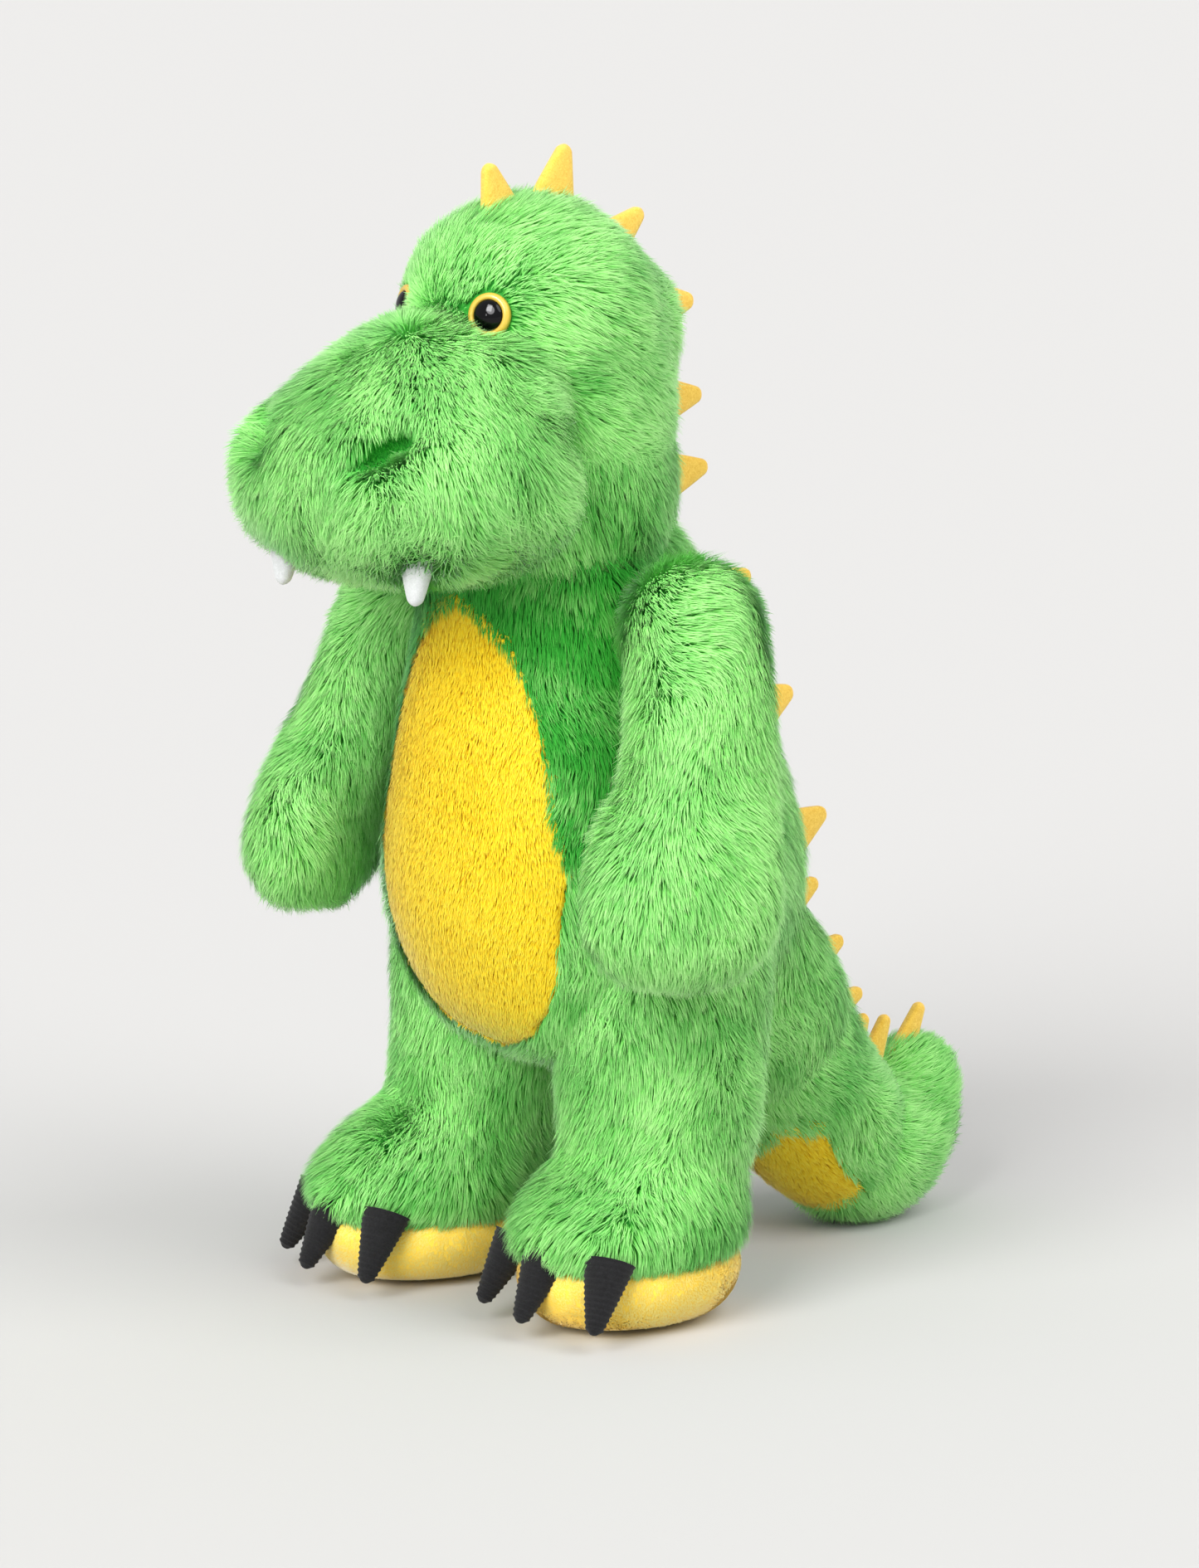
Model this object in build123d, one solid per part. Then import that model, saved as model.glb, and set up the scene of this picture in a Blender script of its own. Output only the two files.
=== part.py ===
from build123d import *
import os

# Stuffed standing dinosaur, millimetres, +Z up, nose towards -Y, its left side at +X.
# Places are written in a stance frame whose origin lies between the feet. Every piece is moved
# by SHIFT_Y at the end, so that the kept frame starts at the middle of the whole toy's footprint.

# ---- driving dimensions -------------------------------------------------------------------
FUR = 4.0                # plush fabric with its packed pile, as one skin
GAP = 0.3                # room between the skin and the stuffing, and between seated bodies
SOCKET_GAP = 0.6         # room in the sockets that turn

HEAD_Z = 337.0           # middle of the head ball, also the nod pivot
HEAD_Y = -3.5
HEAD_BALL = (0.0, HEAD_Y, HEAD_Z)
HEAD_R = 46.0
HEAD_BACK_Y, HEAD_BACK_R = 20.0, 34.0    # smaller ball that rounds the back of the head
HEAD_COLUMN_TOP_Z = 329.0
NOD_R = 66.0             # seat between head and neck, a ball about the nod pivot
COLLAR_R = 44.5          # column under the head, and the neck under it
COLLAR_FLOOR_Z = 268.0   # the column is drawn down to here before the seat cuts it
RIDGE_R, RIDGE_Y = 18.0, 40.0      # narrower column behind it, which carries the spikes
NECK_TOP_Z = 306.0
NECK_FLOOR_Z = 264.0     # flat seat between neck and torso, where the head turns

MUZZLE_Y = -59.0
MUZZLE_Z = 299.5
MUZZLE_SIZE = (124.0, 86.0, 80.0)  # width, length, height
MUZZLE_ROUND = 38.0
THROAT_R = 54.0          # room kept round the neck behind the chin
THROAT_Z, THROAT_H = 250.0, 110.0

EYE_X, EYE_Y, EYE_Z = 21.5, -39.0, 345.5
EYE_TURN, EYE_LIFT = 24.0, 8.0     # where each eye looks, outward and upward, degrees
EYE_RING_R, EYE_RING_H, EYE_RING_ROUND = 7.6, 2.6, 1.2
PUPIL_R, PUPIL_DOME_R, PUPIL_DOME_DROP = 5.2, 7.4, 4.0
PUPIL_SEAT = 0.5         # height of the recess in the ring that the pupil sits in
PUPIL_LIFT = 0.02        # the pupil stops this far above the recess
EYE_SHANK_R, EYE_SHANK_H = 2.0, 16.0
WASHER_R, WASHER_H, WASHER_DEPTH = 8.0, 1.6, 11.5
EYE_POCKET_H, EYE_POCKET_Z = 9.0, 3.0    # round the ring
WASHER_POCKET_H, WASHER_POCKET_Z = 14.0, -11.8

TOOTH_X, TOOTH_Y, TOOTH_Z = 34.0, -82.0, 255.5
TOOTH_R, TOOTH_TIP_R, TOOTH_H, TOOTH_ROUND = 7.5, 2.6, 17.0, 2.0

SHOULDER_X, SHOULDER_Y, SHOULDER_Z = 70.0, 8.0, 240.0
SHOULDER_R = 25.0
ARM_TURN = -25.0         # the flat of each arm looks forward and outward, degrees
SHOULDER_CUT_X = 52.0    # flat side of the torso that the arm turns against
SHOULDER_CUT_R = 47.0

HIP_X, HIP_Y, HIP_Z = 42.0, 20.0, 118.0
HIP_R = 35.0
HIP_BACK, HIP_FORWARD = 8.0, 14.0  # swing of a leg, degrees
ANKLE_Z = 56.0
SOLE_H = 24.0
FOOT_X = 48.0
FOOT_LEFT_Y, FOOT_RIGHT_Y = 0.0, -9.0
RIGHT_TOE_OUT = 10.0     # the right foot points outward, degrees

TAIL_PIVOT = (0.0, 106.0, 76.0)
TAIL_R = 36.0
TAIL_MIDDLE = (0.0, 127.0, 50.0)
TAIL_MIDDLE_R = 31.5
TIP_PIVOT = (0.0, 150.0, 29.5)
TIP_R = 29.5
TIP_MIDDLE = (0.0, 165.0, 26.5)
TIP_MIDDLE_R = 26.0
TAIL_END = (0.0, 183.0, 45.0)
TAIL_END_R = 19.5
TAIL_BEND, TIP_BEND = 20.0, 25.0   # each way, degrees

# Tail and tip: y, z, radius and slope in degrees. The ends stay a little inside the seat balls.
TAIL_SECTIONS = (
    (TAIL_PIVOT[1], TAIL_PIVOT[2], TAIL_R - 1.5, -50.0),
    (TAIL_MIDDLE[1], TAIL_MIDDLE[2], TAIL_MIDDLE_R, -48.0),
    (TIP_PIVOT[1], TIP_PIVOT[2], TIP_R - 1.5, -20.0),
)
TIP_SECTIONS = (
    (TIP_PIVOT[1], TIP_PIVOT[2], TIP_R - 1.0, -14.0),
    (TIP_MIDDLE[1], TIP_MIDDLE[2], TIP_MIDDLE_R, 12.0),
    (TAIL_END[1], TAIL_END[2], TAIL_END_R, 62.0),
)
UNDERSIDE_BOX = (80.0, 110.0, 60.0)      # what lies in it under the tail is yellow fabric
UNDERSIDE_Y, UNDERSIDE_Z, UNDERSIDE_SLOPE = 95.0, 18.0, -42.0

NOSE_FRONT_Y = MUZZLE_Y - MUZZLE_SIZE[1] / 2
TAIL_BACK_Y = TAIL_END[1] + TAIL_END_R
SHIFT_Y = -(NOSE_FRONT_Y + TAIL_BACK_Y) / 2

BELLY_DEPTH_Y = -19.0    # the panel reaches back to here

# Points of a torso section between its front, widest and back ones, as shares of width and length.
EGG_FRONT = (0.72, 0.30)
EGG_FLANK = (0.64, 0.52)

# Torso sections from the bottom up: height, front, back, half width, place of the widest point.
TORSO_SECTIONS = (
    (94.0, -20.0, 92.0, 56.0, 24.0),
    (118.0, -38.0, 118.0, 69.0, 24.0),
    (150.0, -46.0, 120.0, 73.0, 20.0),
    (196.0, -44.0, 103.0, 66.0, 14.0),
    (236.0, -37.0, 87.0, 53.0, 8.0),
    (NECK_FLOOR_Z, -42.0, 66.0, 45.0, 0.0),
)

# Where the torso runs out into the tail: y, z, radius and slope in degrees.
TAIL_ROOT_SECTIONS = (
    (68.0, 126.0, 44.0, -40.0),
    (88.0, 98.0, 40.0, -50.0),
    (TAIL_PIVOT[1], TAIL_PIVOT[2], TAIL_R + 0.5, -50.0),
)

# Belly panel seen from the front: its middle top, its left edge and its middle bottom, as (x, z).
BELLY_OUTLINE = ((0.0, 247.0), (25.0, 228.0), (38.0, 194.0), (46.0, 158.0), (41.0, 124.0), (0.0, 96.0))
BELLY_REACH = 90.0       # the outline is drawn out this far, past the front of the torso

# Level ellipses, from the bottom up: height, x, y, half width, half length.
THIGH_SECTIONS = (
    (ANKLE_Z, FOOT_X - 2, 14.0, 31.0, 31.0),
    (84.0, HIP_X + 1, 18.0, 34.0, 34.0),
    (HIP_Z + 6, HIP_X, HIP_Y, HIP_R - 2, HIP_R - 2),
)
FOOT_SECTIONS = (
    (SOLE_H, 0.0, 0.0, 36.0, 43.0),
    (34.0, 0.0, 0.0, 37.0, 45.0),
    (46.0, 0.0, 4.0, 34.0, 40.0),
    (ANKLE_Z, 0.0, 9.0, 29.0, 29.0),
)
SOLE_SECTIONS = (
    (0.0, 0.0, 0.0, 20.0, 27.0),
    (4.0, 0.0, 0.0, 28.5, 36.0),
    (13.0, 0.0, 0.0, 34.5, 42.0),
    (SOLE_H, 0.0, 0.0, 35.5, 42.5),
)
HAND = (96.0, -21.0, 146.0)
HAND_SIZE = (21.0, 33.0, 19.0)     # half width, half length, half height
SLEEVE_SECTIONS = (
    (HAND[2], HAND[0], HAND[1], HAND_SIZE[0], HAND_SIZE[1]),
    (172.0, 93.0, -16.0, 21.0, 33.0),
    (204.0, 86.0, -5.0, 21.0, 29.0),
    (238.0, 74.0, 6.0, 22.0, 24.0),
)

# Felt spikes down the back: body, base (y, z), tip (y, z), width along the seam.
SPIKES = (
    ("head", (-16.0, 379.0), (-21.0, 393.0), 15.0),
    ("head", (8.0, 380.0), (14.0, 398.0), 19.0),
    ("head", (34.0, 364.0), (47.0, 373.0), 16.0),
    ("head", (54.0, 341.0), (70.0, 342.0), 18.0),
    ("neck", (58.0, 308.0), (74.0, 309.0), 17.0),
    ("neck", (50.0, 280.0), (78.0, 284.0), 24.0),
    ("torso", (84.0, 238.0), (97.0, 243.0), 18.0),
    ("torso", (102.0, 193.0), (119.0, 199.0), 23.0),
    ("torso", (119.0, 146.0), (136.0, 153.0), 22.0),
    ("torso", (119.0, 121.0), (132.0, 128.0), 13.0),
    ("tail", (131.0, 98.0), (145.0, 105.0), 13.0),
    ("tail", (141.0, 79.0), (155.0, 84.0), 12.0),
    ("tip", (151.0, 57.0), (159.0, 73.0), 10.0),
    ("tip", (161.0, 53.0), (170.0, 71.0), 10.0),
    ("tip", (180.0, 60.0), (188.0, 73.0), 9.0),
)
SPIKE_THICK = 4.0
SPIKE_TIP_R = 2.4
SPIKE_ROOT = 7.0         # how far a spike is drawn below its base before the body cuts it

CLAW_SIDE, CLAW_FAN = 24.0, 22.0   # the outer claws stand to the side and fan out, degrees
CLAW_MIDDLE_Y, CLAW_SIDE_Y = -38.0, -31.0
CLAW_Z = 28.5
CLAW_BASE_R, CLAW_TIP_R, CLAW_LENGTH = 8.5, 3.0, 21.0
CLAW_SEAM = 37.0         # turns the cone's own seam away from the foot's middle, degrees
CLAW_DROOP = 60.0        # below level, degrees


# ---- helpers ------------------------------------------------------------------------------
def ball(centre, radius):
    return Pos(*centre) * Sphere(radius)


def keep_solid(shape):
    """The largest solid of a cut, without crumbs."""
    return max(shape.solids(), key=lambda solid: solid.volume)


def egg_face(z, front, back, half_width, widest):
    """One torso section: rounded front, sides that run straight to a ridge at the back."""
    shoulder = (EGG_FRONT[0] * half_width, front + EGG_FRONT[1] * (widest - front))
    flank = (EGG_FLANK[0] * half_width, widest + EGG_FLANK[1] * (back - widest))
    right = [shoulder, (half_width, widest), flank]
    left = [(-x, y) for x, y in reversed(right)]
    points = [(0.0, front)] + right + [(0.0, back)] + left
    outline = Spline(*points, periodic=True)
    return Pos(0, 0, z) * make_face(outline)


def ellipse_loft(sections, inset=0.0, turn=0.0, bottom_inset=0.0, top_inset=0.0):
    """Loft of level ellipses. inset narrows every section, and the other two move the end ones inward."""
    heights = [section[0] for section in sections]
    heights[0] += bottom_inset
    heights[-1] -= top_inset
    faces = []
    for height, (_, x, y, half_x, half_y) in zip(heights, sections):
        faces.append(Pos(x, y, height) * Rot(0, 0, turn) * Ellipse(half_x - inset, half_y - inset))
    return loft(faces)


def tube(stations, inset=0.0):
    """Round tube along the middle plane, through (y, z, radius, slope in degrees) stations."""
    faces = []
    for y, z, radius, slope in stations:
        plane = Plane(origin=(0, y, z), x_dir=(1, 0, 0), z_dir=Vector(0, 1, 0).rotate(Axis.X, slope))
        faces.append(plane * Circle(radius - inset))
    return loft(faces)


def swept(shape, pivot, reach):
    """A shape as a body that bends about the upright axis through pivot meets it, for cutting."""
    pin = Axis(pivot, (0, 0, 1))
    return [shape] + [shape.rotate(pin, share * reach) for share in (-1.05, -0.5, 0.5, 1.05)]


def mirror_x(shape):
    return mirror(shape, about=Plane.YZ)


# ---- head and muzzle ----------------------------------------------------------------------
def collar(low, high, inset=0.0):
    """Column of the neck and lower head, with the ridge that carries the spikes behind it."""
    middle, height = (low + high) / 2, high - low
    column = Pos(0, 0, middle) * Cylinder(COLLAR_R - inset, height)
    return column + Pos(0, RIDGE_Y, middle) * Cylinder(RIDGE_R - inset, height)


def head_solid(inset=0.0):
    skull = ball(HEAD_BALL, HEAD_R - inset) + ball((0, HEAD_BACK_Y, HEAD_Z), HEAD_BACK_R - inset)
    lower = collar(COLLAR_FLOOR_Z, HEAD_COLUMN_TOP_Z, inset) & ball(HEAD_BALL, NOD_R - inset)
    return keep_solid(skull + lower)


def muzzle_solid(inset=0.0):
    width, length, height = (size - 2 * inset for size in MUZZLE_SIZE)
    snout = Box(width, length, height)
    snout = fillet(snout.edges(), MUZZLE_ROUND - inset)
    throat = Pos(0, 0, THROAT_Z) * Cylinder(THROAT_R + inset, THROAT_H)
    return keep_solid(Pos(0, MUZZLE_Y, MUZZLE_Z) * snout - head_solid(-inset) - throat)


def eye_frame(side):
    centre = Pos(side * EYE_X, EYE_Y, EYE_Z)
    return centre * Rot(0, 0, side * EYE_TURN) * Rot(90 - EYE_LIFT, 0, 0)


def eye_parts(side):
    """Safety eye: rimmed ring with its shank, pupil dome in the ring, and the lock washer."""
    seat = eye_frame(side)
    ring = Cylinder(EYE_RING_R, EYE_RING_H)
    ring = fillet(ring.edges().sort_by(Axis.Z)[-1], EYE_RING_ROUND)
    ring += Pos(0, 0, -EYE_SHANK_H / 2) * Cylinder(EYE_SHANK_R, EYE_SHANK_H)
    recess_h = 2 * (EYE_RING_H / 2 - PUPIL_SEAT)
    ring -= Pos(0, 0, EYE_RING_H / 2) * Cylinder(PUPIL_R, recess_h)
    dome = Pos(0, 0, -PUPIL_DOME_DROP) * Sphere(PUPIL_DOME_R)
    dome &= Pos(0, 0, PUPIL_SEAT + PUPIL_LIFT + PUPIL_R) * Cylinder(PUPIL_R, 2 * PUPIL_R)
    washer = Cylinder(WASHER_R, WASHER_H) - Cylinder(EYE_SHANK_R, 2 * WASHER_H)
    washer = Pos(0, 0, -WASHER_DEPTH) * washer
    return [seat * part for part in (ring, dome, washer)]


def eye_room(side):
    """What the skin and the stuffing leave free for one eye."""
    seat = eye_frame(side)
    room = seat * Pos(0, 0, EYE_POCKET_Z) * Cylinder(EYE_RING_R + GAP, EYE_POCKET_H)
    room += seat * Pos(0, 0, -EYE_SHANK_H / 2) * Cylinder(EYE_SHANK_R + GAP, EYE_SHANK_H + 4)
    return room


def washer_room(side):
    return eye_frame(side) * Pos(0, 0, WASHER_POCKET_Z) * Cylinder(WASHER_R + GAP, WASHER_POCKET_H)


def tooth(side):
    cone = Cone(TOOTH_TIP_R, TOOTH_R, TOOTH_H, align=(Align.CENTER, Align.CENTER, Align.MIN))
    cone = fillet(cone.edges().sort_by(Axis.Z)[0], TOOTH_ROUND)
    return Pos(side * TOOTH_X, TOOTH_Y, TOOTH_Z) * cone


# ---- neck, torso and belly ----------------------------------------------------------------
def neck_solid(inset=0.0):
    column = collar(NECK_FLOOR_Z + SOCKET_GAP + inset, NECK_TOP_Z, inset)
    return keep_solid(column - ball(HEAD_BALL, NOD_R + SOCKET_GAP + inset))


def torso_solid(inset=0.0):
    faces = []
    for number, (z, front, back, half_width, widest) in enumerate(TORSO_SECTIONS):
        height = z
        if number == 0:
            height += inset
        if number == len(TORSO_SECTIONS) - 1:
            height -= inset
        faces.append(egg_face(height, front + inset, back - inset, half_width - inset, widest))
    body = loft(faces)
    body = keep_solid(body + tube(TAIL_ROOT_SECTIONS, inset))
    for side in (-1, 1):
        body -= hip_room(side, inset)
        start = SHOULDER_CUT_X - inset
        disc = Cylinder(SHOULDER_CUT_R + inset, 2 * HAND[0], rotation=(0, 90, 0))
        body -= Pos(side * (start + HAND[0]), SHOULDER_Y, SHOULDER_Z) * disc
    body -= ball(TAIL_PIVOT, TAIL_R + SOCKET_GAP + inset)
    return keep_solid(body)


def belly_prism():
    """Outline of the belly panel seen from the front, as a bar through the front of the torso."""
    left = [(-x, z) for x, z in reversed(BELLY_OUTLINE[1:-1])]
    outline = Spline(*BELLY_OUTLINE, *left, periodic=True)
    face = Plane.XZ * make_face(outline)
    return Pos(0, BELLY_DEPTH_Y, 0) * extrude(face, BELLY_REACH)


# ---- legs, feet and arms ------------------------------------------------------------------
def leg_column(inset=0.0):
    thigh = ellipse_loft(THIGH_SECTIONS, inset, bottom_inset=inset)
    return keep_solid(thigh + ball((HIP_X, HIP_Y, HIP_Z), HIP_R - inset))


def hip_room(side, inset=0.0):
    """Everything that a swinging thigh passes through."""
    hip = (HIP_X, HIP_Y, HIP_Z)
    room = ball(hip, HIP_R + SOCKET_GAP + inset)
    pin = Axis(hip, (1, 0, 0))
    bar_h = HIP_Z - SOLE_H
    bar = Pos(HIP_X, HIP_Y, HIP_Z - bar_h / 2) * Cylinder(HIP_R + SOCKET_GAP + inset, bar_h)
    for angle in (-HIP_FORWARD, 0, HIP_BACK):
        room += bar.rotate(pin, angle)
    if side < 0:
        room = mirror_x(room)
    return room


def foot_solid(inset=0.0):
    return ellipse_loft(FOOT_SECTIONS, inset, bottom_inset=inset, top_inset=inset)


def sole_solid():
    return ellipse_loft(SOLE_SECTIONS)


def foot_place(side):
    if side > 0:
        return Pos(FOOT_X, FOOT_LEFT_Y, 0)
    return Pos(-FOOT_X, FOOT_RIGHT_Y, 0) * Rot(0, 0, -RIGHT_TOE_OUT)


def claw(sideways):
    """Horn that droops from the front of a foot. sideways is -1, 0 or 1."""
    horn = Cone(CLAW_BASE_R, CLAW_TIP_R, CLAW_LENGTH, align=(Align.CENTER, Align.CENTER, Align.MIN))
    horn += Pos(0, 0, CLAW_LENGTH) * Sphere(CLAW_TIP_R)
    root_y = CLAW_SIDE_Y if sideways else CLAW_MIDDLE_Y
    place = Pos(sideways * CLAW_SIDE, root_y, CLAW_Z) * Rot(0, 0, CLAW_FAN * sideways)
    return place * Rot(90 + CLAW_DROOP, 0, 0) * Rot(0, 0, CLAW_SEAM) * horn


def arm_solid(inset=0.0):
    sleeve = ellipse_loft(SLEEVE_SECTIONS, inset, ARM_TURN)
    half_x, half_y, half_z = (half - inset for half in HAND_SIZE)
    sleeve += Pos(*HAND) * Rot(0, 0, ARM_TURN) * scale(Sphere(1.0), by=(half_x, half_y, half_z))
    sleeve += ball((SHOULDER_X, SHOULDER_Y, SHOULDER_Z), SHOULDER_R - inset)
    side_wall = SHOULDER_CUT_X + SOCKET_GAP + inset
    return keep_solid(sleeve - Pos(side_wall - HAND[0], 0, SHOULDER_Z) * Box(2 * HAND[0], 2 * HAND[0], SHOULDER_Z))


# ---- tail ---------------------------------------------------------------------------------
def tail_solid(inset=0.0):
    stem = tube(TAIL_SECTIONS, inset)
    stem += ball(TAIL_PIVOT, TAIL_R - inset)
    stem -= ball(TIP_PIVOT, TIP_R + SOCKET_GAP + inset)
    return keep_solid(stem)


def tip_solid(inset=0.0):
    stem = tube(TIP_SECTIONS, inset)
    stem += ball(TIP_PIVOT, TIP_R - inset) + ball(TAIL_END, TAIL_END_R - inset)
    return keep_solid(stem)


def tail_panel_room():
    """Wedge under the tail that the yellow underside fabric takes."""
    return Pos(0, UNDERSIDE_Y, UNDERSIDE_Z) * Rot(UNDERSIDE_SLOPE, 0, 0) * Box(*UNDERSIDE_BOX)


# ---- spikes -------------------------------------------------------------------------------
def spike(base, tip, width):
    """Felt tooth in the middle plane, with straight sides and a round tip."""
    (base_y, base_z), (tip_y, tip_z) = base, tip
    direction = Vector(0, tip_y - base_y, tip_z - base_z)
    along = Plane(origin=(0, base_y, base_z), x_dir=direction.cross(Vector(1, 0, 0)), z_dir=(1, 0, 0))
    height = direction.length
    tip_middle = height - SPIKE_TIP_R
    outline = Polyline(
        (-width / 2, -SPIKE_ROOT),
        (width / 2, -SPIKE_ROOT),
        (width / 2, 0),
        (SPIKE_TIP_R, tip_middle),
        (-SPIKE_TIP_R, tip_middle),
        (-width / 2, 0),
        close=True,
    )
    face = make_face(outline) + Pos(0, tip_middle) * Circle(SPIKE_TIP_R)
    return extrude(along * face, SPIKE_THICK / 2, both=True)


# ---- build and write ----------------------------------------------------------------------
def skin_and_fill(maker):
    outer = maker(0.0)
    skin = outer - maker(FUR)
    fill = maker(FUR + GAP)
    return outer, skin, fill


nodes = {}
head_outer, nodes["head_shell"], nodes["head_fill"] = skin_and_fill(head_solid)
muzzle_outer, nodes["muzzle_shell"], nodes["muzzle_fill"] = skin_and_fill(muzzle_solid)
neck_outer, nodes["neck_shell"], nodes["neck_fill"] = skin_and_fill(neck_solid)
torso_outer, torso_skin, nodes["torso_fill"] = skin_and_fill(torso_solid)
panel = belly_prism()
nodes["belly_panel"] = keep_solid(torso_skin & panel)
nodes["torso_shell"] = keep_solid(torso_skin - panel)
tail_outer, tail_skin, nodes["tail_fill"] = skin_and_fill(tail_solid)
underside = tail_panel_room()
nodes["tail_panel"] = keep_solid(tail_skin & underside)
nodes["tail_shell"] = keep_solid(tail_skin - underside)
tip_outer, nodes["tail_tip_shell"], nodes["tail_tip_fill"] = skin_and_fill(tip_solid)

for side, name in ((1, "left"), (-1, "right")):
    ring, dome, washer = eye_parts(side)
    nodes["eye_ring_" + name] = ring
    nodes["eye_pupil_" + name] = dome
    nodes["eye_washer_" + name] = washer
    nodes["head_shell"] -= eye_room(side)
    nodes["head_fill"] -= eye_room(side) + washer_room(side)
    nodes["muzzle_shell"] -= eye_room(side)
    nodes["tooth_" + name] = keep_solid(tooth(side) - muzzle_outer)

    arm_outer, arm_skin, arm_fill = skin_and_fill(arm_solid)
    nodes["arm_shell_" + name] = arm_skin if side > 0 else mirror_x(arm_skin)
    nodes["arm_fill_" + name] = arm_fill if side > 0 else mirror_x(arm_fill)

    leg_outer, leg_skin, leg_fill = skin_and_fill(leg_column)
    nodes["leg_shell_" + name] = leg_skin if side > 0 else mirror_x(leg_skin)
    nodes["leg_fill_" + name] = leg_fill if side > 0 else mirror_x(leg_fill)
    place = foot_place(side)
    foot_outer, foot_skin, foot_fill = skin_and_fill(foot_solid)
    nodes["foot_shell_" + name] = place * foot_skin
    nodes["foot_fill_" + name] = place * foot_fill
    nodes["sole_" + name] = place * sole_solid()
    for sideways, which in ((-1, "a"), (0, "b"), (1, "c")):
        horn = keep_solid(claw(sideways) - foot_outer)
        nodes["claw_" + name + "_" + which] = place * keep_solid(horn - sole_solid())

OUTERS_NEAR = {
    "head": [head_outer, neck_outer],
    "neck": [neck_outer, ball(HEAD_BALL, NOD_R + SOCKET_GAP)],
    "torso": [torso_outer],
    "tail": [tail_outer] + swept(torso_outer, TAIL_PIVOT, TAIL_BEND),
    "tip": [tip_outer] + swept(tail_outer, TIP_PIVOT, TIP_BEND),
}
for number, (body, base, tip, width) in enumerate(SPIKES, start=1):
    blade = spike(base, tip, width)
    for outer in OUTERS_NEAR[body]:
        blade -= outer
    nodes["spike_%02d" % number] = keep_solid(blade)

os.makedirs("parts", exist_ok=True)
for name, shape in nodes.items():
    export_step(Pos(0, SHIFT_Y, 0) * shape, "parts/" + name + ".step")
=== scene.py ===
import math

import bmesh
import bpy
import numpy as np
from mathutils import Matrix, Vector
from mathutils.kdtree import KDTree


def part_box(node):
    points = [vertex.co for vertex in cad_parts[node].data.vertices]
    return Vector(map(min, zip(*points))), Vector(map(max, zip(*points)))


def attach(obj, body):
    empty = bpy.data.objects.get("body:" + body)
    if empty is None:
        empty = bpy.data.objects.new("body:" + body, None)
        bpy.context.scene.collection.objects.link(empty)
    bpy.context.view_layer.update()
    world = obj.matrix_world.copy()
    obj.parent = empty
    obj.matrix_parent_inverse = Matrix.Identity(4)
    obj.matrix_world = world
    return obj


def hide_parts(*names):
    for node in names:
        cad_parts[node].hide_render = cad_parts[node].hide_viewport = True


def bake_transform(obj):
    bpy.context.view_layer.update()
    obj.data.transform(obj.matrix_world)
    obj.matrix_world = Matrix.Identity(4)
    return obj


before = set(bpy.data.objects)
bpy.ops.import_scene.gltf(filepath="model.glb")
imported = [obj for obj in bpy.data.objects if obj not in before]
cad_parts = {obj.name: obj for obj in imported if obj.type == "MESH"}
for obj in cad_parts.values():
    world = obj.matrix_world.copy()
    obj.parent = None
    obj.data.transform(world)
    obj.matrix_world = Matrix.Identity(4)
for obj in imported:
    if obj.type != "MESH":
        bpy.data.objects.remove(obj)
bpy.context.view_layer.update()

# Stuffed dinosaur. Shapes are written in millimetres in the stance frame of the CAD source:
# +Z up, nose towards -Y, the toy's left at +X, x = 0 the middle plane, and y = 0 the middle of
# the left sole. to_row() turns them into the row frame in metres, and stance() turns back.
# A shape is a pair: an array of vertices and a list of faces.

SOLE_LOW, SOLE_HIGH = (Vector(corner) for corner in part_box("sole_left"))
STANCE_Y = (SOLE_LOW.y + SOLE_HIGH.y) / 2
MM = 0.001
SIDES = (("left", 1), ("right", -1))
rng = np.random.default_rng(408)


def to_row(points):
    moved = np.asarray(points, float) * MM
    moved[..., 1] += STANCE_Y
    return moved


def stance(points):
    """Row-frame points in stance millimetres."""
    moved = np.array(points, float)
    moved[:, 1] -= STANCE_Y
    return moved / MM


def unit(vectors):
    return vectors / np.maximum(np.linalg.norm(vectors, axis=-1, keepdims=True), 1e-9)


# ---- closed base shapes ---------------------------------------------------------------------
def circle(sectors):
    """Cosine and sine of evenly spaced angles."""
    angles = np.linspace(0, 2 * math.pi, sectors, endpoint=False)
    return np.cos(angles), np.sin(angles)


def ellipsoid(centre, radii, turn=(0, 0, 0), power=2.0, rings=24, sectors=36):
    """Ellipsoid, turned by degrees about X, Y and Z. A power over 2 fills it out."""
    verts = [(0, 0, 1)]
    for ring in range(1, rings):
        polar = math.pi * ring / rings
        for sector in range(sectors):
            around = 2 * math.pi * sector / sectors
            level = math.sin(polar)
            verts.append((level * math.cos(around), level * math.sin(around), math.cos(polar)))
    verts.append((0, 0, -1))
    verts = np.array(verts)
    verts = verts / (np.abs(verts) ** power).sum(1)[:, None] ** (1 / power)
    return finish_grid(verts * radii, rings - 1, sectors, centre, turn)


def finish_grid(verts, ring_count, sectors, centre=(0, 0, 0), turn=(0, 0, 0)):
    """Faces for a stack of rings with a pole at each end, and the stack put in its place."""
    spin = Matrix.Identity(3)
    for axis, angle in zip("XYZ", turn):
        spin = Matrix.Rotation(math.radians(angle), 3, axis) @ spin
    verts = verts @ np.array(spin).T + np.array(centre)
    faces = []
    last = len(verts) - 1
    for sector in range(sectors):
        after = (sector + 1) % sectors
        faces.append((0, 1 + sector, 1 + after))
        low = 1 + (ring_count - 1) * sectors
        faces.append((last, low + after, low + sector))
        for ring in range(ring_count - 1):
            base = 1 + ring * sectors
            above = base + sectors
            faces.append((base + sector, above + sector, above + after, base + after))
    return verts, faces


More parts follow.
